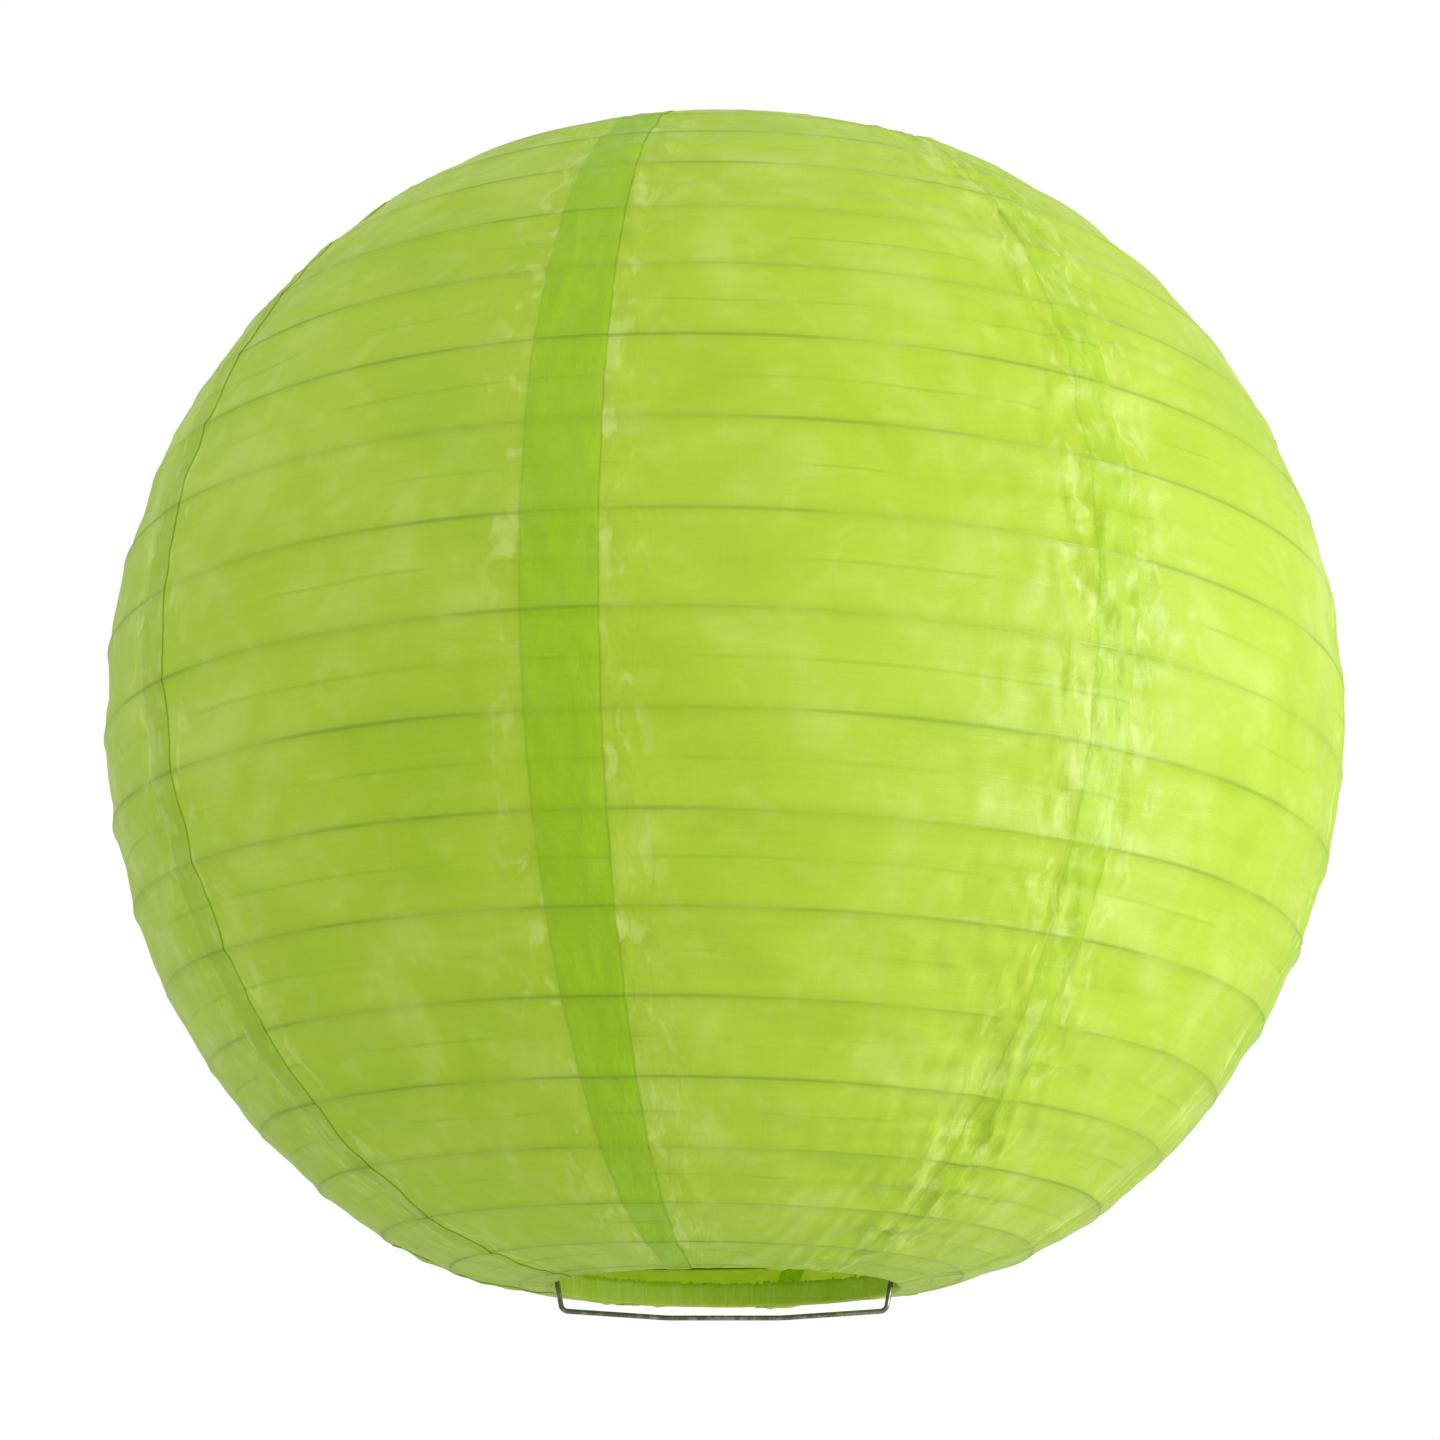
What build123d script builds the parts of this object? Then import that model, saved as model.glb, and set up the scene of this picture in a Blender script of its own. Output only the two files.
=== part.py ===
from build123d import *

import os
from math import acos, cos, degrees, hypot, radians, sin

# A round nylon lantern, 20 inches across, hanging from its wire bail.
#
# Eight fabric gores are lapped and glued over one continuous spiral rib, between two end rings.
# A bent wire expander holds the end rings apart, and a small bail on top of it has the hook eye.
# The origin is the centre of the hook eye, +Z is up, and the expander lies in the XZ plane.
#
# Driving dimensions, in millimetres and degrees. Heights in the shell count from its centre.

EQUATOR_R = 254.0  # outside of the fabric at its widest
OPENING_R = 70.5  # centreline of the end rings
RIM_Z = 233.4  # outside of the fabric at an end ring
CAP_LATITUDE = 52.0  # where the round body turns into the flatter cap
FABRIC = 0.5  # thickness of the fabric solids
GLUE_GAP = 0.3  # clearance between two glued layers, and between fabric and wire

GORE_COUNT = 8
CLOSING_GORE_START = -106.5  # azimuth of the left seam of the gore that was glued on last
CLOSING_GORE_SPAN = 48.5
CLOSING_LAP = 6.5  # about 29 mm of overlap at the equator
SEAM_LAP = 4.0  # about 18 mm of overlap at the equator
SEAM_STEP = 0.8  # the width over which a gore's edge steps out to lap over its neighbour

RIB_WIRE = 1.0
RIB_TURNS = 19.5
RIB_BUNCHING = 0.083  # how much wider than even the spacing is at the equator
RIB_END_GAP = 3.4  # from an end ring's centreline to the end of the rib, along the fabric
RING_WIRE = 1.8

EXPANDER_WIRE = 2.0
LEG_X = 62.5
SHOULDER_X = 73.0  # tip of each bend that bears on an end ring
SHOULDER_DEPTH = 6.3  # from an end ring's centreline to the shoulder's tip
SHOULDER_RUN = 12.0  # from the shoulder's tip back to the straight leg
NECK_X = 66.8  # where the wire passes through an end ring
NECK_DEPTH = 2.3
BAR_HALF = 64.5
BAR_DROP = 8.9  # the bottom bar's ends, below the bottom rim
BAR_BOW = 2.8  # how far the middle of the bar bows down
BAR_BOW_HALF = 22.6  # half the length of the bowed bar's middle run
LEG_BENDS = [3.0, 2.0, 2.5, 6.0]  # radii, from the eye to the straight leg
BAR_BEND = 60.0
EYE_X = 62.0
EYE_R = 2.2  # centreline of the eyes that the bail turns in
EYE_RISE = 8.6  # the eyes' centre, above the top rim

BAIL_WIRE = 1.8
BAIL_RISE = 23.5  # from the hinge line to the centre of the hook eye
HOOK_EYE_R = 7.0  # centreline of the hook eye
HOOK_EYE_JOIN = (5.6, 4.2)  # where an arm meets the hook eye, out and down from its centre
PIN_OUT = 3.2  # how far the bail's pin reaches past its eye before it turns up
PIN_IN = 4.6
PIN_TAIL = 3.6  # height of the turned-up end
BAIL_FOOT = (9.0, 4.2)  # where an arm leaves the pin, in from the eye and up
BAIL_BENDS = [1.6, 1.6, 4.0]

HINGE_Z = -BAIL_RISE
SHELL_Z = HINGE_Z - EYE_RISE - RIM_Z  # the shell's centre, under the hook eye
RING_Z = RIM_Z - FABRIC - GLUE_GAP - RING_WIRE / 2  # the top ring's centreline


def cap_arc():
    """Radius, centre and turn of the arc from the round body to the rim, tangent to the body."""
    lat = radians(CAP_LATITUDE)
    start = (EQUATOR_R * cos(lat), EQUATOR_R * sin(lat))
    chord = (OPENING_R - start[0], RIM_Z - start[1])
    length = hypot(*chord)
    half_turn = acos((-chord[0] * sin(lat) + chord[1] * cos(lat)) / length)
    radius = length / (2 * sin(half_turn))
    reach = EQUATOR_R - radius
    return radius, (reach * cos(lat), reach * sin(lat)), 2 * half_turn


CAP_R, CAP_CENTRE, CAP_TURN = cap_arc()
BODY_HALF = EQUATOR_R * radians(CAP_LATITUDE)
HALF_MERIDIAN = BODY_HALF + CAP_R * CAP_TURN  # along the fabric from the equator to a rim


def on_fabric(along, outwards=0.0):
    """(radius, height) of a point that far along the meridian from the equator, offset outwards."""
    sign = 1 if along >= 0 else -1
    along = abs(along)
    if along <= BODY_HALF:
        lat, radius, centre = along / EQUATOR_R, EQUATOR_R, (0, 0)
    else:
        lat, radius, centre = radians(CAP_LATITUDE) + (along - BODY_HALF) / CAP_R, CAP_R, CAP_CENTRE
    r = centre[0] + (radius + outwards) * cos(lat)
    z = centre[1] + (radius + outwards) * sin(lat)
    return r, sign * z


def meridian(outwards):
    """The fabric's meridian from the bottom rim to the top rim, as three arcs offset outwards."""
    stops = [-HALF_MERIDIAN, -BODY_HALF, BODY_HALF, HALF_MERIDIAN]
    arcs = []
    for low, high in zip(stops, stops[1:]):
        points = [on_fabric(along, outwards) for along in (low, (low + high) / 2, high)]
        arcs.append(ThreePointArc(*[(r, 0, z) for r, z in points]))
    return arcs


def band(inner, outer, start, span):
    """The solid between two offsets of the meridian, over a span of azimuth."""
    inside, outside = meridian(inner), meridian(outer)
    ends = [Line(inside[0] @ 0, outside[0] @ 0), Line(inside[-1] @ 1, outside[-1] @ 1)]
    face = Face(Wire(inside + outside + ends))
    return Rot(0, 0, start) * Solid.revolve(face, span, Axis.Z)


def gore(start, span, lap):
    """One fabric gore, whose far edge steps out and laps over the next gore."""
    gap = degrees(GLUE_GAP / OPENING_R) / 2
    step_at = start + span - gap - SEAM_STEP
    panel = band(-FABRIC, 0, start + gap, span - 2 * gap)
    step = band(-FABRIC / 2, GLUE_GAP + FABRIC, step_at, SEAM_STEP)
    flap = band(GLUE_GAP, GLUE_GAP + FABRIC, step_at + SEAM_STEP / 2, lap + SEAM_STEP / 2)
    return panel + step + flap


def gores():
    """The gores by name, the closing one first and the one that laps over it last."""
    span = (360 - CLOSING_GORE_SPAN) / (GORE_COUNT - 1)
    made, start = {}, CLOSING_GORE_START
    for number in range(1, GORE_COUNT + 1):
        width = CLOSING_GORE_SPAN if number == 1 else span
        lap = CLOSING_LAP if number == GORE_COUNT else SEAM_LAP
        made[f"gore_panel_{number}"] = gore(start, width, lap)
        start += width
    return made


def rib_along(turns):
    """How far along the meridian the rib is, that many turns up from the bottom."""
    u = 2 * turns / RIB_TURNS - 1
    return (HALF_MERIDIAN - RIB_END_GAP) * (u * (1 + RIB_BUNCHING) - RIB_BUNCHING * u**3)


def spiral_rib():
    """The rib: half turns that are semicircles and meet in the YZ plane, climbing clockwise."""
    depth = FABRIC + GLUE_GAP + RIB_WIRE / 2
    knots = []
    for half in range(int(2 * RIB_TURNS) + 1):
        r, z = on_fabric(rib_along(half / 2), -depth)
        knots.append(Vector(0, -r if half % 2 == 0 else r, z))
    arcs = []
    for half, (low, high) in enumerate(zip(knots, knots[1:])):
        side = -1 if half % 2 == 0 else 1
        middle = (low + high) / 2 + Vector(side * (high - low).length / 2, 0, 0)
        arcs.append(ThreePointArc(low, middle, high))
    return round_wire(Wire(arcs), RIB_WIRE)


def round_wire(path, diameter):
    """A round wire of that diameter along a path."""
    start = Plane(origin=path @ 0, z_dir=path % 0)
    return Solid.sweep((start * Circle(diameter / 2)).face(), path)


def bent_wire(points, radii, diameter):
    """A round wire in the XZ plane, of straight runs with the given bend radii."""
    return round_wire(FilletPolyline(*[(x, 0, z) for x, z in points], radius=radii), diameter)


def end_ring(side):
    """The wire ring inside a rim: side is 1 at the top and -1 at the bottom."""
    return Pos(0, 0, side * RING_Z) * Solid.make_torus(OPENING_R, RING_WIRE / 2)


def rim_hem(side):
    """The gores' ends, folded in round an end ring and back under it."""
    inner = OPENING_R - RING_WIRE / 2 - GLUE_GAP - FABRIC
    fold = RING_Z - RING_WIRE / 2 - GLUE_GAP - FABRIC
    joint = OPENING_R - GLUE_GAP
    turned_back = OPENING_R + RING_WIRE / 2
    outline = [
        (joint, RIM_Z),
        (inner, RIM_Z),
        (inner, fold),
        (turned_back, fold),
        (turned_back, fold + FABRIC),
        (inner + FABRIC, fold + FABRIC),
        (inner + FABRIC, RIM_Z - FABRIC),
        (joint, RIM_Z - FABRIC),
    ]
    face = Face(Wire.make_polygon([(r, 0, side * z) for r, z in outline], close=True))
    return Solid.revolve(face, 360, Axis.Z)


def expander_frame():
    """One bent wire: a bottom bar, two legs with shoulders that spread the end rings, two eyes."""
    shoulder_z, neck_z = RING_Z - SHOULDER_DEPTH, RING_Z - NECK_DEPTH
    leg_end, eye_z, bar_z = shoulder_z - SHOULDER_RUN, RIM_Z + EYE_RISE, -RIM_Z - BAR_DROP
    top = [(EYE_X, eye_z - EYE_R), (NECK_X, neck_z + NECK_DEPTH), (NECK_X, neck_z)]
    leg = [(SHOULDER_X, shoulder_z), (LEG_X, leg_end), (LEG_X, -leg_end), (SHOULDER_X, -shoulder_z)]
    bottom = [(NECK_X, -neck_z), (BAR_HALF, bar_z), (BAR_BOW_HALF, bar_z - BAR_BOW)]
    half = top + leg + bottom
    points = half + [(-x, z) for x, z in reversed(half)]
    bends = LEG_BENDS + LEG_BENDS[::-1] + [BAR_BEND]
    wire = bent_wire(points, bends + bends[::-1], EXPANDER_WIRE)
    for x in (EYE_X, -EYE_X):
        wire += Pos(x, 0, eye_z) * Rot(0, 90, 0) * Solid.make_torus(EYE_R, EXPANDER_WIRE / 2)
    return wire


def hanger_bail():
    """The bail: its pins turn in the expander's eyes, and its arms meet at the hook eye."""
    bail = Pos(0, 0, BAIL_RISE) * Rot(90, 0, 0) * Solid.make_torus(HOOK_EYE_R, BAIL_WIRE / 2)
    points = [
        (EYE_X + PIN_OUT, PIN_TAIL),
        (EYE_X + PIN_OUT, 0),
        (EYE_X - PIN_IN, 0),
        (EYE_X - BAIL_FOOT[0], BAIL_FOOT[1]),
        (HOOK_EYE_JOIN[0], BAIL_RISE - HOOK_EYE_JOIN[1]),
    ]
    for side in (1, -1):
        bail += bent_wire([(side * x, z) for x, z in points], BAIL_BENDS, BAIL_WIRE)
    return bail


def main():
    os.makedirs("parts", exist_ok=True)
    shell = gores()
    shell["spiral_rib"] = spiral_rib()
    for name, side in (("top", 1), ("bottom", -1)):
        shell[f"{name}_ring"] = end_ring(side)
        shell[f"{name}_rim_hem"] = rim_hem(side)
    shell["expander_frame"] = expander_frame()
    nodes = {name: Pos(0, 0, SHELL_Z) * solid for name, solid in shell.items()}
    nodes["hanger_bail"] = Pos(0, 0, HINGE_Z) * hanger_bail()
    for name, solid in nodes.items():
        export_step(solid, f"parts/{name}.step")
        print(name, len(solid.solids()), "solid", round(solid.volume), "mm3")


main()
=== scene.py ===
"""The looks of a round green nylon lantern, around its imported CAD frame.

Each gore is one thin sheet of cloth that follows the spiral rib: it stands on the wire, sags between
the turns, is creased where the lantern folds flat, and puckers along its glued seams.
"""

import math

import bpy
import numpy as np
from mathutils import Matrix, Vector


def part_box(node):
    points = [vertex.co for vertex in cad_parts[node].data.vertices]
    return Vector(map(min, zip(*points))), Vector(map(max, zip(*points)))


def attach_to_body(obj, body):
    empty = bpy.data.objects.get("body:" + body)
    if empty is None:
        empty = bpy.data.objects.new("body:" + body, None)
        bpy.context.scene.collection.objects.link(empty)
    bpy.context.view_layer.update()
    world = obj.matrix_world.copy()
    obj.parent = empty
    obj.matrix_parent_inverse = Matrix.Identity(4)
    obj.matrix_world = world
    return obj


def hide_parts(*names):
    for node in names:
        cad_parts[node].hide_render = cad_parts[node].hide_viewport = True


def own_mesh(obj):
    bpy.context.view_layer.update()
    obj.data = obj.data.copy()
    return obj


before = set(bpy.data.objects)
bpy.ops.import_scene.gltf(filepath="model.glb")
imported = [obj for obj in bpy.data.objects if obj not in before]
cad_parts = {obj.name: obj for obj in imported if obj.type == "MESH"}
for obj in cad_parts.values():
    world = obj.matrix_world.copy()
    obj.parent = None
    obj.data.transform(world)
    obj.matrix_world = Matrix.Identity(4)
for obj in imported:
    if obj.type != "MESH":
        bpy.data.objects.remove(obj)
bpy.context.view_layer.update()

# The shell's sizes, in metres and degrees. Heights in the shell count from its centre.
TOP_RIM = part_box("top_rim_hem")[1].z
BOTTOM_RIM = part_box("bottom_rim_hem")[0].z
CENTRE_Z = (TOP_RIM + BOTTOM_RIM) / 2
RIM_Z = (TOP_RIM - BOTTOM_RIM) / 2
RING_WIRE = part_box("top_ring")[1].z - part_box("top_ring")[0].z
OPENING_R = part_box("top_ring")[1].x - RING_WIRE / 2
EQUATOR_R = 0.254
CAP_LATITUDE = math.radians(52.0)
FABRIC = 0.00015  # thickness of the real cloth

CLOSING_START = -106.5  # azimuth of the left seam of the gore that was glued on last
CLOSING_SPAN = 48.5
GORES = 8
SPAN = (360 - CLOSING_SPAN) / (GORES - 1)
SEAM_LAP = 4.0
CLOSING_LAP = 6.5
LAP_RISE = 0.0004  # how far a lapping layer stands off the layer under it
LAP_STEP = (-0.0009, 0.0006)  # where it rises, counted from the edge it laps over
RIGHT_SEAM_PUCKER = (0.0025, 0.044)  # height and reach of the puckers at the worst seam
OTHER_SEAM_PUCKER = (0.0010, 0.022)

RIB_WIRE = 0.001
RIB_TURNS = 19.5
RIB_START = -81.5  # azimuth of its lower end
RIB_BUNCHING = 0.083
RIB_END_GAP = 0.0034
RIB_DEPTH = FABRIC + RIB_WIRE / 2 + 0.0001
RIB_END_FADE = 0.004  # the part of a turn over which the wire's painted shadow fades in at its ends

# How the cloth lies between two turns of the rib, in metres.
STEP_OFF_RIB, STEP_WIDTH = 0.00035, 0.0014  # its drop beside the wire
SAG, SAG_GAP = 0.0007, 0.035  # its sag half way between two turns that far apart
UNEVEN_TENSION = 0.0009
FOLD_CREASE, FOLD_CREASE_WIDTH = 0.00035, 0.0016
FINE_WRINKLE, WIDE_WRINKLE = 0.0005, 0.0007
NO_MARK = 0.02  # a distance from a rib, crease or seam at which it leaves no mark

# How the cloth lies beside a seam. Widths go round the shell, lengths go up it, and a share is of
# the seam's own pucker height.
PUCKER_WIDTH, PUCKER_LENGTH, PUCKER_LEAN = 0.011, 0.028, 0.22
PUCKER_HOLLOW = 0.35
CRINKLE_WIDTH, CRINKLE_LENGTH, CRINKLE_SHARE = 0.0035, 0.009, 0.35
PULL_WIDTH, PULL_LENGTH, PULL_SHARE = 0.05, 0.0055, 0.3
PULL_REACH = 2.2  # in reaches of the seam's puckers


def seams():
    """[(azimuth, pucker height, pucker reach, lap)] of the seams, from the closing gore's left one."""
    found = []
    for i in range(GORES):
        azimuth = CLOSING_START + (CLOSING_SPAN + (i - 1) * SPAN if i else 0)
        height, reach = RIGHT_SEAM_PUCKER if i == 1 else OTHER_SEAM_PUCKER
        found.append((azimuth, height, reach, CLOSING_LAP if i == 0 else SEAM_LAP))
    return found


SEAMS = seams()


# ---------------------------------------------------------------- shape of the shell


def cap_arc():
    """Radius, centre and turn of the arc from the round body to the rim, tangent to the body."""
    start = (EQUATOR_R * math.cos(CAP_LATITUDE), EQUATOR_R * math.sin(CAP_LATITUDE))
    chord = (OPENING_R - start[0], RIM_Z - start[1])
    length = math.hypot(*chord)
    along = (-chord[0] * math.sin(CAP_LATITUDE) + chord[1] * math.cos(CAP_LATITUDE)) / length
    half_turn = math.acos(along)
    radius = length / (2 * math.sin(half_turn))
    reach = EQUATOR_R - radius
    return radius, reach * math.cos(CAP_LATITUDE), reach * math.sin(CAP_LATITUDE), 2 * half_turn


CAP_R, CAP_CENTRE_R, CAP_CENTRE_Z, CAP_TURN = cap_arc()
BODY_HALF = EQUATOR_R * CAP_LATITUDE
HALF_MERIDIAN = BODY_HALF + CAP_R * CAP_TURN


def on_fabric(along, outwards=0.0):
    """(radius, height) on the meridian, that far from the equator and offset outwards; for arrays."""
    reach = np.abs(along)
    body = reach <= BODY_HALF
    lat = np.where(body, reach / EQUATOR_R, CAP_LATITUDE + (reach - BODY_HALF) / CAP_R)
    radius = np.where(body, EQUATOR_R, CAP_R) + outwards
    r = np.where(body, 0, CAP_CENTRE_R) + radius * np.cos(lat)
    z = np.where(body, 0, CAP_CENTRE_Z) + radius * np.sin(lat)
    return r, np.where(np.asarray(along) >= 0, z, -z)


def rib_along(turns):
    """How far along the meridian the rib is, that many turns up from the bottom."""
    u = 2 * turns / RIB_TURNS - 1
    return (HALF_MERIDIAN - RIB_END_GAP) * (u * (1 + RIB_BUNCHING) - RIB_BUNCHING * u**3)


def lattice(ix, iy, seed):
    """A fixed random number from 0 to 1 for each whole-number place."""
    h = (ix * 374761393 + iy * 668265263 + seed * 974634777) & 0xFFFFFFFF
    h = ((h ^ (h >> 13)) * 1274126177) & 0xFFFFFFFF
    return ((h ^ (h >> 16)) & 0xFFFF) / 65535.0


def smooth_noise(x, y, seed, period=1 << 20):
    """Value noise from -1 to 1 on arrays, one cell per unit, that repeats after period cells of x."""
    x, y = np.broadcast_arrays(np.asarray(x, float), np.asarray(y, float))
    ix, iy = np.floor(x).astype(np.int64), np.floor(y).astype(np.int64)
    fx, fy = x - ix, y - iy
    fx, fy = fx * fx * (3 - 2 * fx), fy * fy * (3 - 2 * fy)
    left, right = ix % period, (ix + 1) % period
    low = lattice(left, iy, seed) * (1 - fx) + lattice(right, iy, seed) * fx
    high = lattice(left, iy + 1, seed) * (1 - fx) + lattice(right, iy + 1, seed) * fx
    return 2 * (low * (1 - fy) + high * fy) - 1


def ridged(x, y, seed):
    """Noise with soft ridges: 1 on a ridge, falling to 0 away from it."""
    return (1 - np.abs(smooth_noise(x, y, seed))) ** 3


def smoothstep(low, high, x):
    t = np.clip((x - low) / (high - low), 0, 1)
    return t * t * (3 - 2 * t)


def wrapped(degrees):
    """An angle brought to between -180 and 180 degrees."""
    return (np.asarray(degrees) + 180) % 360 - 180


def noise_round(azimuth, along, cells, height, lean, seed):
    """Noise with that many cells round the shell, so that it meets itself at the back."""
    return smooth_noise(azimuth / 360 * cells + along * lean, along / height, seed, cells)


def wrinkles(azimuth, along, between, slack):
    """Uneven tension from one stretch to the next, and long shallow wrinkles round the shell."""
    tension = noise_round(azimuth, along, cells=54, height=0.030, lean=1 / 0.07, seed=15)
    fine = noise_round(azimuth, along, cells=19, height=0.0075, lean=0, seed=13)
    wide = noise_round(azimuth, along, cells=38, height=0.022, lean=-1 / 0.09, seed=14)
    return between * (UNEVEN_TENSION * slack * tension + FINE_WRINKLE * fine + WIDE_WRINKLE * wide)


def puckers(azimuth, along, between):
    """The cloth's puckers beside the seams, and the pulls that radiate from them."""
    r, _ = on_fabric(along)
    free = np.sqrt(np.clip(between, 0, 1))
    out = np.zeros_like(along)
    for number, (seam, height, reach, lap) in enumerate(SEAMS):
        off = np.radians(wrapped(azimuth - seam)) * r
        near = np.exp(-((off / reach) ** 2)) * free
        if lap > SEAM_LAP:
            edge = np.radians(wrapped(azimuth - seam - lap)) * r
            near = np.maximum(near, np.exp(-((edge / reach) ** 2)) * free)
        strong = 0.55 + 0.45 * smooth_noise(off / 0.03, along / 0.035, 20 + number)
        leaning = (off + PUCKER_LEAN * along) / PUCKER_WIDTH
        ridge = ridged(leaning, along / PUCKER_LENGTH, 30 + number) - PUCKER_HOLLOW
        out += height * near * strong * ridge
        crinkle = smooth_noise(off / CRINKLE_WIDTH, along / CRINKLE_LENGTH, 40 + number)
        out += CRINKLE_SHARE * height * near * crinkle
        pulled = np.exp(-np.abs(off) / (PULL_REACH * reach)) * between
        pull = smooth_noise(off / PULL_WIDTH, along / PULL_LENGTH, 50 + number)
        out += PULL_SHARE * height * pulled * pull
    return out


def relief(azimuth, along, share, gap, off_rib, turn):
    """How far the cloth stands off the smooth shell: 0 on the rib, and mostly inwards between turns.

    It depends on the place alone, so that lapping layers stay parallel. turn counts along the rib.
    """
    between = 4 * share * (1 - share)
    slack = (gap / SAG_GAP) ** 2
    out = -STEP_OFF_RIB * (1 - np.exp(-off_rib / STEP_WIDTH))
    out -= SAG * between * slack * (1 + 0.5 * smooth_noise(turn * 38, 0.5, 11))
    # the crease along which the shell folds flat, half way between two turns
    crease = np.exp(-np.abs(share - 0.5) * gap / FOLD_CREASE_WIDTH)
    out += FOLD_CREASE * crease * smooth_noise(turn * 47, 0.5, 12) * slack
    out += wrinkles(azimuth, along, between, slack)
    out += puckers(azimuth, along, between)
    return out


def rows_between():
    """Shares of the way from one turn of the rib to the next, closest together at the rib and crease."""
    nominal = 35.0  # a gap between two turns, in millimetres
    off_rib = [0.5, 1.0, 1.7, 2.7, 4.2, 6.2, 8.6, 11.1, 13.6, 15.7, 16.9]
    shares = [d / nominal for d in off_rib]
    return shares + [0.5] + [1 - s for s in reversed(shares)]


def columns(start, end):
    """Azimuths across a gore, closer together near its edges."""
    edge_step, middle_step, margin = 0.36, 0.72, 8.0
    left = np.arange(start, start + margin, edge_step)
    right = np.arange(end, end - margin, -edge_step)[::-1]
    count = int((right[0] - left[-1]) / middle_step)
    middle = np.linspace(left[-1], right[0], count + 2)[1:-1]
    return np.concatenate([left, middle, right])


def rib_lines(azimuth):
    """The turns of the rib across a gore, between its two rims.

    Gives where each line lies, how much of it is wire (0 past the rib's ends), the number of the
    first turn, and the part of a turn at each azimuth.
    """
    turn_share = (RIB_START - azimuth) / 360
    lines, wire = [np.full_like(azimuth, -HALF_MERIDIAN)], [np.zeros_like(azimuth)]
    first = math.ceil(-turn_share.max() + RIB_END_FADE)
    last = math.floor(RIB_TURNS - turn_share.min() - RIB_END_FADE)
    for turn in range(first, last + 1):
        t = turn + turn_share
        started = smoothstep(-RIB_END_FADE, RIB_END_FADE, t)
        unfinished = smoothstep(-RIB_END_FADE, RIB_END_FADE, RIB_TURNS - t)
        lines.append(rib_along(np.clip(t, 0, RIB_TURNS)))
        wire.append(started * unfinished)
    lines.append(np.full_like(azimuth, HALF_MERIDIAN))
    wire.append(np.zeros_like(azimuth))
    return lines, wire, first, turn_share


def gore_rows(azimuth):
    """Every row of a gore: its place on the meridian, and how it lies to the rib around it.

    Gives along, share of the way between two turns, distance off the nearer one, gap between the
    two, how much of the nearer one is wire, and the count of turns.
    """
    lines, wire, first, turn_share = rib_lines(azimuth)
    last_band = len(lines) - 2
    rows = []
    for band in range(last_band + 1):
        low, high = lines[band], lines[band + 1]
        for share in [0.0] + rows_between() + ([1.0] if band == last_band else []):
            along = low + (high - low) * share
            off_rib = np.minimum(along - low, high - along)
            nearer = wire[band] if share <= 0.5 else wire[band + 1]
            turn = first + band - 1 + turn_share
            rows.append((along, np.full_like(azimuth, share), off_rib, high - low, nearer, turn))
    return [np.array(column) for column in zip(*rows)]


def gore_mesh(name, start, span, lap, left_under):
    """One gore: a grid whose rows follow the rib and whose last columns lap over the next gore."""
    azimuth = columns(start, start + span + lap)
    along, share, off_rib, gap, wire, turns = gore_rows(azimuth)
    az = np.broadcast_to(azimuth, along.shape)
    end = start + span
    smooth_r, _ = on_fabric(along)
    past = np.radians(az - end) * smooth_r
    out = relief(az, along, share, gap, off_rib, turns)
    out = out + LAP_RISE * smoothstep(*LAP_STEP, past)
    r, z = on_fabric(along, out)
    points = np.stack([r * np.cos(np.radians(az)), r * np.sin(np.radians(az)), z + CENTRE_Z], -1)
    mesh = grid_mesh(name, points)
    across = np.radians(az) * EQUATOR_R
    cloth = np.stack([across, along, np.full_like(along, start / 360)], -1)
    seams_at = (end, end + lap, start, start + left_under)
    off_seam = np.minimum.reduce([np.abs(np.radians(az - at)) * smooth_r for at in seams_at])
    doubled_shade_strength = 1.0 if lap > SEAM_LAP else 0.3
    attach(mesh, "cloth", cloth.reshape(-1, 3))
    attach(mesh, "rib", np.where(wire > 0.5, off_rib, NO_MARK).reshape(-1))
    attach(mesh, "crease", (np.abs(share - 0.5) * gap).reshape(-1))
    # painted shade: where a gore laps over the next, the doubled band is painted deeper for the light
    # the second layer holds back
    attach(mesh, "doubled_shade", (smoothstep(-0.0004, 0.0004, past) * doubled_shade_strength).reshape(-1))
    attach(mesh, "seam", off_seam.reshape(-1))
    piece = bpy.data.objects.new(name, mesh)
    bpy.context.scene.collection.objects.link(piece)
    return piece


def grid_mesh(name, points, closed=False):
    """A smooth-shaded mesh from a grid of points; closed joins its last column to its first."""
    rows, cols = points.shape[:2]
    index = np.arange(rows * cols).reshape(rows, cols)
    right = np.roll(index, -1, axis=1) if closed else index[:, 1:]
    left = index if closed else index[:, :-1]
    quads = np.stack([left[:-1], right[:-1], right[1:], left[1:]], -1).reshape(-1, 4)
    mesh = bpy.data.meshes.new(name)
    mesh.vertices.add(rows * cols)
    mesh.vertices.foreach_set("co", points.reshape(-1).astype(np.float32))
    mesh.loops.add(quads.size)
    mesh.loops.foreach_set("vertex_index", quads.reshape(-1).astype(np.int32))
    mesh.polygons.add(len(quads))
    mesh.polygons.foreach_set("loop_start", np.arange(0, quads.size, 4, dtype=np.int32))
    mesh.polygons.foreach_set("loop_total", np.full(len(quads), 4, dtype=np.int32))
    mesh.update(calc_edges=True)
    mesh.validate()
    mesh.shade_smooth()
    return mesh


def attach(mesh, name, values):
    """Stores one number or one vector on each vertex, for the material to read."""
    vector = values.ndim == 2
    attribute = mesh.attributes.new(name, "FLOAT_VECTOR" if vector else "FLOAT", "POINT")
    attribute.data.foreach_set("vector" if vector else "value", values.reshape(-1).astype(np.float32))


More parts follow.
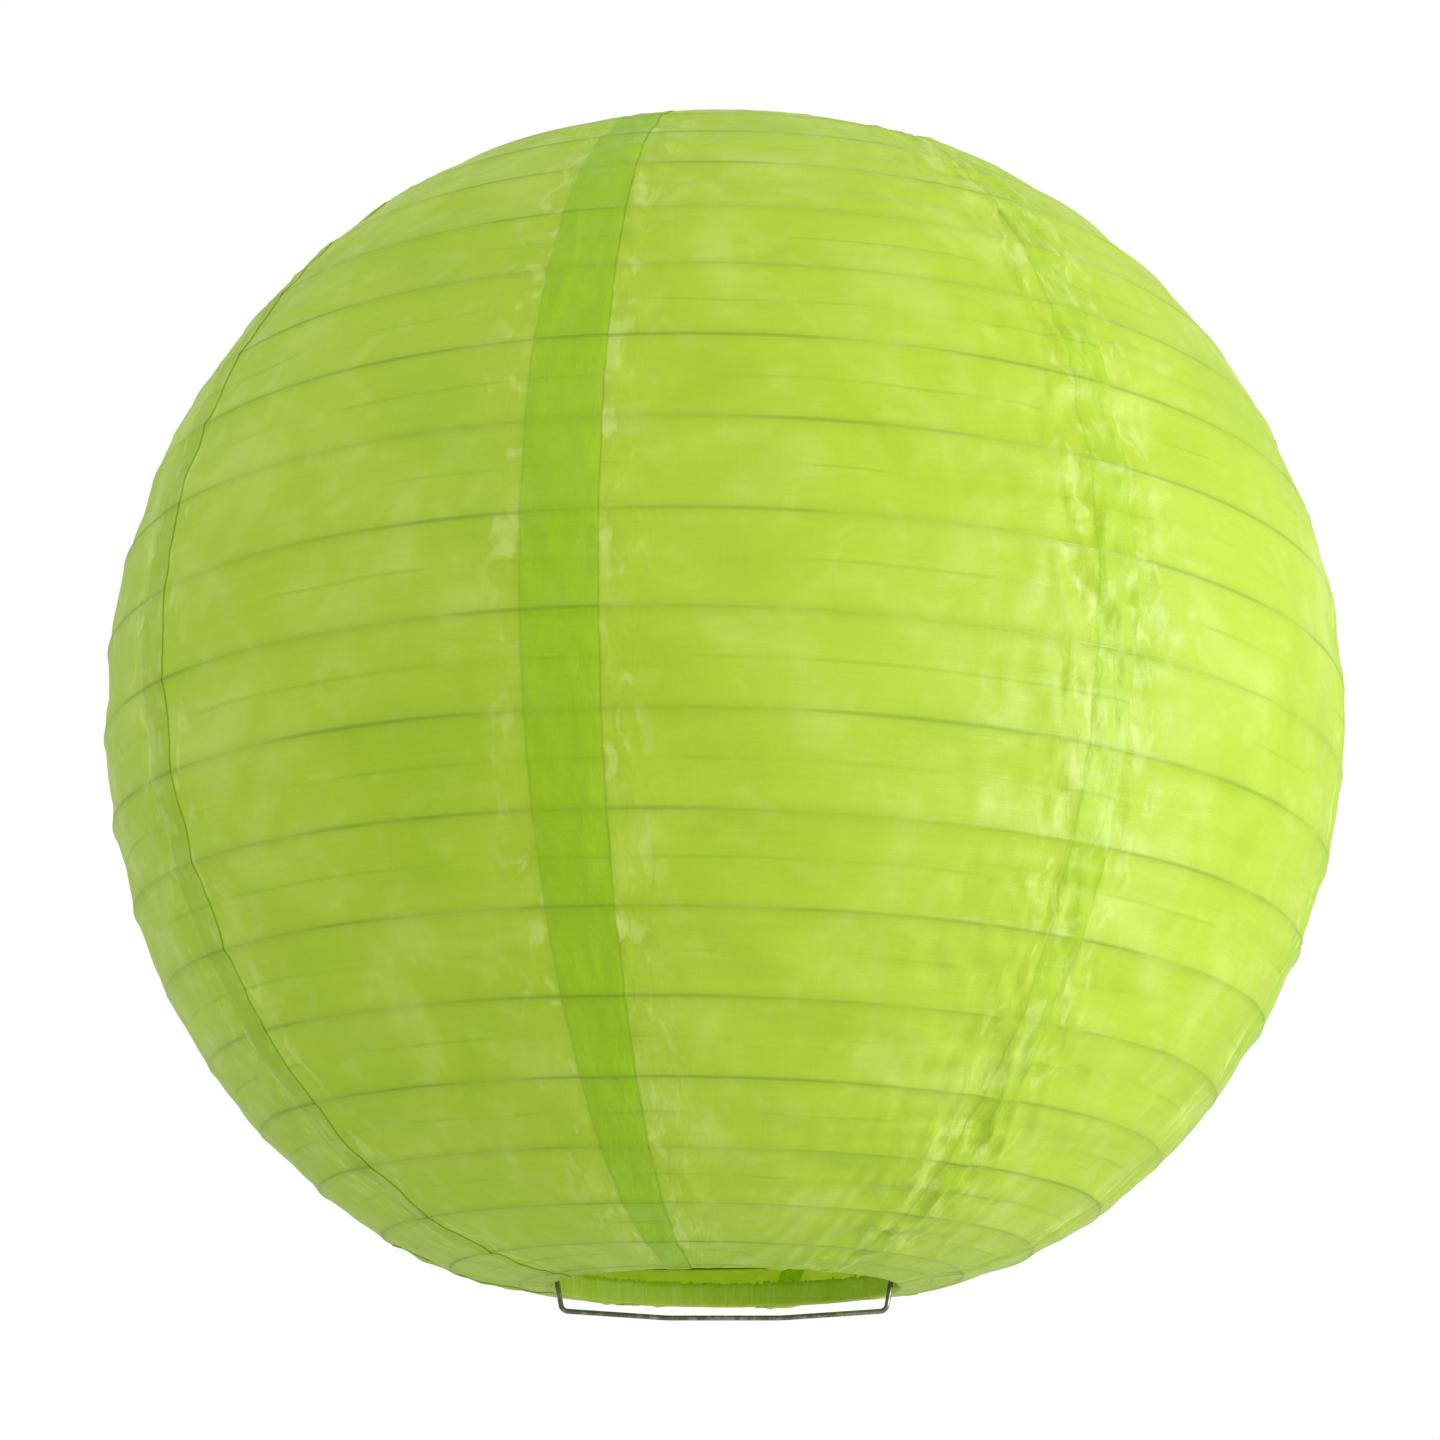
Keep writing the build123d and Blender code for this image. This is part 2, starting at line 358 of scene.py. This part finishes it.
def tube_mesh(name, path, radius, sides=8):
    """A tube of that radius along a path of points, with closed ends."""
    path = np.asarray(path, float)
    ahead = np.gradient(path, axis=0)
    ahead /= np.linalg.norm(ahead, axis=1)[:, None]
    up = np.array([0.0, 0.0, 1.0])
    side = np.cross(ahead, up)
    side /= np.linalg.norm(side, axis=1)[:, None]
    lift = np.cross(side, ahead)
    turn = np.linspace(0, 2 * math.pi, sides, endpoint=False)
    ring = side[:, None] * np.cos(turn)[None, :, None] + lift[:, None] * np.sin(turn)[None, :, None]
    points = path[:, None] + radius * ring
    tip = [np.repeat(path[i][None, None], sides, 1) for i in (0, -1)]
    points = np.concatenate([tip[0], points, tip[1]])
    return grid_mesh(name, points, closed=True)


# ---------------------------------------------------------------- materials


class Nodes:
    """A short way to write a node tree."""

    def __init__(self, name):
        self.material = bpy.data.materials.new(name)
        self.material.use_nodes = True
        self.tree = self.material.node_tree
        self.tree.nodes.clear()
        self.output = self.tree.nodes.new("ShaderNodeOutputMaterial")

    def add(self, kind, inputs=(), **settings):
        node = self.tree.nodes.new("ShaderNode" + kind)
        for key, value in settings.items():
            setattr(node, key, value)
        for socket, value in dict(inputs).items():
            if isinstance(value, bpy.types.NodeSocket):
                self.tree.links.new(value, node.inputs[socket])
            else:
                node.inputs[socket].default_value = value
        return node

    def attribute(self, name, vector=False):
        node = self.add("Attribute", attribute_name=name)
        return node.outputs["Vector" if vector else "Fac"]

    def math(self, operation, a, b=0.0, clamp=False):
        return self.add("Math", {0: a, 1: b}, operation=operation, use_clamp=clamp).outputs[0]

    def noise(self, vector, scale, stretch=(1, 1, 1), detail=2.0, distortion=0.0):
        placed = self.add("Mapping", {"Vector": vector, "Scale": stretch}).outputs[0]
        inputs = {"Vector": placed, "Scale": scale, "Detail": detail, "Distortion": distortion}
        return self.add("TexNoise", inputs).outputs["Fac"]

    def rescale(self, value, low, high, to_low=0.0, to_high=1.0, smooth=True):
        kind = "SMOOTHSTEP" if smooth else "LINEAR"
        inputs = {"Value": value, 1: low, 2: high, 3: to_low, 4: to_high}
        return self.add("MapRange", inputs, interpolation_type=kind).outputs[0]

    def mix(self, factor, a, b, blend="MIX"):
        inputs = {"Factor": factor, 6: a, 7: b}
        return self.add("Mix", inputs, data_type="RGBA", blend_type=blend).outputs[2]

    def bump(self, height, strength, distance, under=None):
        inputs = {"Height": height, "Strength": strength, "Distance": distance}
        if under is not None:
            inputs["Normal"] = under
        return self.add("Bump", inputs).outputs[0]

    def finish(self, shader):
        self.tree.links.new(shader, self.output.inputs["Surface"])
        return self.material


def dye_and_painted_light(n, cloth, patches, patches_fine):
    """The dye, unevenly taken up, with paler spots of painted reflection beside the seams, and painted
    shade where two layers lap.
    """
    pale, plain, deep = (0.70, 0.83, 0.16, 1), (0.53, 0.69, 0.040, 1), (0.42, 0.60, 0.012, 1)
    colour = n.mix(n.rescale(patches, 0.50, 0.72, 0, 0.55), plain, pale)
    colour = n.mix(n.rescale(patches_fine, 0.52, 0.70, 0, 0.28), colour, pale)
    colour = n.mix(n.rescale(patches, 0.50, 0.28, 0, 0.45), colour, deep)
    # painted reflection: paler, whiter spots in the cloth's colour beside the seams, where its face
    # shines
    by_seam = n.rescale(n.attribute("seam"), 0.0, 0.026, 1, 0)
    reflection_spots = n.rescale(n.noise(cloth, 75, (1.3, 0.8, 1), detail=2, distortion=0.8), 0.54, 0.66)
    painted_seam_reflection = n.math("MULTIPLY", by_seam, reflection_spots)
    colour = n.mix(n.math("MULTIPLY", painted_seam_reflection, 0.55), colour, (0.80, 0.90, 0.26, 1))
    # painted shade on the band where two layers lap
    doubled_shade = n.math("MULTIPLY", n.attribute("doubled_shade"), 0.9)
    return n.mix(doubled_shade, colour, (0.43, 0.69, 0.005, 1))


def lined(n, cloth, colour):
    """The colour with painted shadow of the rib behind it, painted shade in the fold crease, and the cut
    edges.
    """
    # painted shadow of the wire under the cloth: a thin dark line, stronger in some stretches than in
    # others, with a soft painted shade either side
    rib = n.attribute("rib")
    line = n.rescale(rib, 0.0002, 0.0014, 1, 0)
    shade = n.rescale(rib, 0.0, 0.005, 0.10, 0)
    stretches = n.rescale(n.noise(cloth, 9, (1, 6, 1), detail=2), 0.40, 0.62, 0.12, 1.0)
    wire_shadow = n.math("MULTIPLY", line, n.math("MULTIPLY", stretches, 0.44))
    wire_shadow = n.math("MAXIMUM", wire_shadow, shade)
    colour = n.mix(wire_shadow, colour, (0.13, 0.32, 0.006, 1))
    # painted shade along the fold crease, stronger in some stretches than in others
    crease = n.rescale(n.attribute("crease"), 0.0, 0.0012, 1, 0)
    crease_shade = n.rescale(n.noise(cloth, 14, (1, 5, 1), detail=2), 0.46, 0.60, 0, 0.38)
    colour = n.mix(n.math("MULTIPLY", crease, crease_shade), colour, (0.26, 0.48, 0.006, 1))
    edge = n.rescale(n.attribute("seam"), 0.0, 0.0009, 0.30, 0)
    return n.mix(edge, colour, (0.24, 0.46, 0.006, 1))


def crumpled(n, cloth, threads):
    """The normal of the cloth: long wrinkles, crinkles that are strongest by the seams, and weave."""
    wrinkled = n.noise(cloth, 1.0, (35, 240, 1), detail=3, distortion=0.5)
    crinkles = n.noise(cloth, 170, (1, 0.6, 1), detail=3, distortion=0.9)
    normal = n.bump(wrinkled, 0.35, 0.0008)
    by_seam = n.rescale(n.attribute("seam"), 0.0, 0.03, 1, 0.12)
    normal = n.bump(n.math("MULTIPLY", crinkles, by_seam), 0.5, 0.0011, normal)
    return n.bump(threads, 0.35, 0.00012, normal)


def nylon(name):
    """Thin dyed nylon: a fine weave, a satin face, and light that comes through it."""
    n = Nodes(name)
    cloth = n.attribute("cloth", vector=True)
    patches = n.noise(cloth, 17, detail=3, distortion=0.7)
    patches_fine = n.noise(cloth, 60, (1, 1.5, 1), detail=3, distortion=0.4)
    warp = n.noise(cloth, 1.0, (2100, 55, 1), detail=1)
    weft = n.noise(cloth, 1.0, (70, 2300, 1), detail=1)
    threads = n.math("ADD", n.math("MULTIPLY", warp, 0.5), n.math("MULTIPLY", weft, 0.5))
    colour = lined(n, cloth, dye_and_painted_light(n, cloth, patches, patches_fine))
    between_threads = n.rescale(threads, 0.3, 0.7, 0.10, 0, smooth=False)
    colour = n.mix(between_threads, colour, (0.16, 0.34, 0.004, 1))
    normal = crumpled(n, cloth, threads)
    face = {
        "Base Color": colour,
        "Roughness": n.rescale(patches_fine, 0.35, 0.7, 0.52, 0.36),
        "Specular IOR Level": 0.38,
        "Sheen Weight": 0.10,
        "Sheen Roughness": 0.35,
        "Sheen Tint": (0.93, 1.0, 0.72, 1),
        "Normal": normal,
    }
    satin = n.add("BsdfPrincipled", face).outputs[0]
    glow = n.mix(0.5, colour, (0.46, 0.74, 0.012, 1))
    through = n.add("BsdfTranslucent", {"Color": glow, "Normal": normal}).outputs[0]
    return n.finish(n.add("MixShader", {0: 0.36, 1: satin, 2: through}).outputs[0])


def drawn_steel(name, colour, worn, roughness):
    """Drawn steel wire with a thin dull skin, brighter where it has rubbed."""
    n = Nodes(name)
    place = n.add("TexCoord").outputs["Object"]
    mottle = n.noise(place, 260, detail=4)
    lines = n.noise(place, 1.0, (2600, 2600, 160), detail=2)
    tint = n.mix(n.rescale(mottle, 0.42, 0.68), colour, worn)
    tint = n.mix(n.rescale(lines, 0.45, 0.7, 0, 0.35), tint, (0.10, 0.10, 0.08, 1))
    rough = n.rescale(mottle, 0.3, 0.7, roughness + 0.1, roughness - 0.1)
    inputs = {"Base Color": tint, "Metallic": 1.0, "Roughness": rough}
    inputs["Normal"] = n.bump(lines, 0.25, 0.00006, n.bump(mottle, 0.3, 0.00008))
    return n.finish(n.add("BsdfPrincipled", inputs).outputs[0])


def coated_wire(name):
    """The rib's wire, with a matt green coat that has chipped in places."""
    n = Nodes(name)
    place = n.add("TexCoord").outputs["Object"]
    chips = n.rescale(n.noise(place, 420, detail=3), 0.63, 0.70)
    coat = n.mix(n.noise(place, 60), (0.13, 0.26, 0.02, 1), (0.20, 0.36, 0.03, 1))
    inputs = {"Base Color": n.mix(chips, coat, (0.30, 0.31, 0.27, 1)), "Metallic": chips}
    inputs["Roughness"] = n.rescale(chips, 0, 1, 0.55, 0.35)
    inputs["Normal"] = n.bump(chips, 0.4, 0.00005)
    return n.finish(n.add("BsdfPrincipled", inputs).outputs[0])


def pale_floor(name):
    n = Nodes(name)
    place = n.add("TexCoord").outputs["Object"]
    tone = n.mix(n.noise(place, 3, detail=3), (0.68, 0.68, 0.67, 1), (0.74, 0.74, 0.73, 1))
    return n.finish(n.add("BsdfPrincipled", {"Base Color": tone, "Roughness": 0.9}).outputs[0])


# ---------------------------------------------------------------- pieces


def make_gores(material):
    start = CLOSING_START
    for number in range(1, GORES + 1):
        span = CLOSING_SPAN if number == 1 else SPAN
        lap = CLOSING_LAP if number == GORES else SEAM_LAP
        left_under = CLOSING_LAP if number == 1 else SEAM_LAP
        piece = gore_mesh(f"gore_cloth_{number}", start, span, lap, left_under)
        piece.data.materials.append(material)
        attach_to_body(piece, "lantern")
        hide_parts(f"gore_panel_{number}")
        collapse(piece)
        start += span


def collapse(piece):
    """Gives the piece its own copy of its mesh."""
    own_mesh(piece)


def make_rib(material):
    """The rib as one smooth helix over the round shell, just under the cloth."""
    steps_per_turn = 96
    turns = np.linspace(0, RIB_TURNS, int(RIB_TURNS * steps_per_turn) + 1)
    r, z = on_fabric(rib_along(turns), -RIB_DEPTH)
    azimuth = np.radians(RIB_START - 360 * turns)
    path = np.stack([r * np.cos(azimuth), r * np.sin(azimuth), z + CENTRE_Z], -1)
    mesh = tube_mesh("rib_wire", path, RIB_WIRE / 2, sides=8)
    piece = bpy.data.objects.new("rib_wire", mesh)
    bpy.context.scene.collection.objects.link(piece)
    mesh.materials.append(material)
    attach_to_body(piece, "lantern")
    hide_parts("spiral_rib")
    collapse(piece)


def hem_profile(side):
    """Stations along the cloth that wraps an end ring: (radius, height, raggedness) from outside in."""
    wrap = RING_WIRE / 2 + 0.0004
    ring_z = RIM_Z - FABRIC - wrap
    stations = []
    for degrees in range(80, 181, 20):
        angle = math.radians(degrees)
        stations.append((OPENING_R + wrap * math.cos(angle), ring_z + wrap * math.sin(angle), 0.5))
    for down in (0.0012, 0.0026, 0.0042, 0.0062, 0.0084):
        stations.append((OPENING_R - wrap - 0.02 * down, ring_z - down, 0.5 + 90 * down))
    return [(r, side * z, ragged) for r, z, ragged in stations]


def hem_rows(profile, side, angle):
    """The rows of points of a hem, uneven where it was glued and frayed at its last row."""
    cells = 20  # to a radius
    x, y = np.cos(angle) * cells, np.sin(angle) * cells
    seed = 61 if side > 0 else 71
    wave = smooth_noise(x, y, seed)
    fine = smooth_noise(x * 5, y * 5, seed + 1)
    rows = []
    for number, (r, z, ragged) in enumerate(profile):
        last = number == len(profile) - 1
        fray = 0.0009 * smooth_noise(x * 14, y * 14, seed + 2) if last else 0
        outwards = 0.00018 * wave + 0.00012 * fine
        into_shell = 0.00030 * wave + 0.00022 * fine
        radius = r + ragged * outwards
        height = z - side * (ragged * into_shell + fray)
        rows.append(np.stack([radius * np.cos(angle), radius * np.sin(angle), height + CENTRE_Z], -1))
    return np.array(rows)


def make_hem(side, body, material):
    """The folded-in ends of the gores round an end ring."""
    ring = "top" if side > 0 else "bottom"
    name = f"{ring}_hem_cloth"
    segments = 720
    angle = np.radians(np.linspace(0, 360, segments, endpoint=False))
    profile = hem_profile(side)
    mesh = grid_mesh(name, hem_rows(profile, side, angle), closed=True)
    count = len(profile)
    across = np.tile(angle * OPENING_R * 3.6, count)
    down = np.repeat(np.arange(count) * 0.0016, segments)
    attach(mesh, "cloth", np.stack([across, down, np.full_like(down, 0.3 * side)], -1))
    # the hem is folded double and gets a little painted shade for it
    plain = {"rib": NO_MARK, "crease": NO_MARK, "doubled_shade": 0.2, "seam": 0.012}
    for attribute, value in plain.items():
        attach(mesh, attribute, np.full(count * segments, value))
    mesh.materials.append(material)
    piece = bpy.data.objects.new(name, mesh)
    bpy.context.scene.collection.objects.link(piece)
    thick = piece.modifiers.new("thickness", "SOLIDIFY")
    thick.thickness = 0.0002
    thick.offset = 0
    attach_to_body(piece, body)
    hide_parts(f"{ring}_rim_hem")


def dress_wires():
    """The CAD's wires keep their shape and get their steel."""
    skin, bright = (0.14, 0.15, 0.095, 1), (0.30, 0.31, 0.25, 1)
    steel = drawn_steel("expander_steel", skin, bright, 0.40)
    ring_steel = drawn_steel("ring_steel", (0.36, 0.36, 0.33, 1), (0.60, 0.60, 0.56, 1), 0.36)
    for node, material in (
        ("expander_frame", steel),
        ("hanger_bail", steel),
        ("top_ring", ring_steel),
        ("bottom_ring", ring_steel),
    ):
        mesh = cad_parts[node].data
        mesh.materials.clear()
        mesh.materials.append(material)


# ---------------------------------------------------------------- camera and light


def add_camera():
    """Below the lantern and in front of it, looking up at its centre."""
    distance, below = 6.02 * EQUATOR_R, math.radians(15.1)
    centre = Vector((0, 0, CENTRE_Z))
    back = Vector((0, -math.cos(below), -math.sin(below)))
    data = bpy.data.cameras.new("camera")
    data.lens, data.sensor_width = 92.1, 36.0
    data.shift_x, data.shift_y = -0.0028, 0.0021
    camera = bpy.data.objects.new("camera", data)
    camera.location = centre + back * distance
    camera.rotation_euler = (-back).to_track_quat("-Z", "Y").to_euler()
    bpy.context.scene.collection.objects.link(camera)
    bpy.context.scene.camera = camera


def add_area_light(name, place, size, power, colour=(1, 1, 1)):
    data = bpy.data.lights.new(name, "AREA")
    data.size, data.energy, data.color = size, power, colour
    light = bpy.data.objects.new(name, data)
    light.location = Vector(place) + Vector((0, 0, CENTRE_Z))
    light.rotation_euler = (-Vector(place)).to_track_quat("-Z", "Y").to_euler()
    bpy.context.scene.collection.objects.link(light)


def add_world():
    world = bpy.data.worlds.new("studio")
    world.use_nodes = True
    tree = world.node_tree
    sky = tree.nodes["Background"]
    sky.inputs["Color"].default_value = (1.0, 1.0, 1.0, 1)
    sky.inputs["Strength"].default_value = 0.82
    seen = tree.nodes.new("ShaderNodeBackground")
    seen.inputs["Strength"].default_value = 1.0
    seen.inputs["Color"].default_value = (1.0, 1.0, 1.0, 1)
    path = tree.nodes.new("ShaderNodeLightPath")
    mix = tree.nodes.new("ShaderNodeMixShader")
    tree.links.new(path.outputs["Is Camera Ray"], mix.inputs[0])
    tree.links.new(sky.outputs[0], mix.inputs[1])
    tree.links.new(seen.outputs[0], mix.inputs[2])
    tree.links.new(mix.outputs[0], tree.nodes["World Output"].inputs["Surface"])
    bpy.context.scene.world = world


def add_floor():
    size, drop = 6.0, 1.1
    corners = [(-size, -size), (size, -size), (size, size), (-size, size)]
    mesh = bpy.data.meshes.new("floor")
    mesh.from_pydata([(x, y, CENTRE_Z - drop) for x, y in corners], [], [(0, 1, 2, 3)])
    mesh.materials.append(pale_floor("floor_paint"))
    floor = bpy.data.objects.new("floor", mesh)
    bpy.context.scene.collection.objects.link(floor)


def main():
    add_camera()
    add_world()
    add_floor()
    add_area_light("key", (2.0, -0.9, 0.0), 1.2, 46, (1.0, 0.97, 1.25))
    add_area_light("fill", (-1.4, -1.6, 1.0), 1.6, 9)
    bpy.context.scene.view_settings.view_transform = "Standard"
    cloth = nylon("green_nylon")
    make_gores(cloth)
    make_rib(coated_wire("rib_coat"))
    make_hem(1, "lantern", cloth)
    make_hem(-1, "bottom_rim", cloth)
    dress_wires()


main()
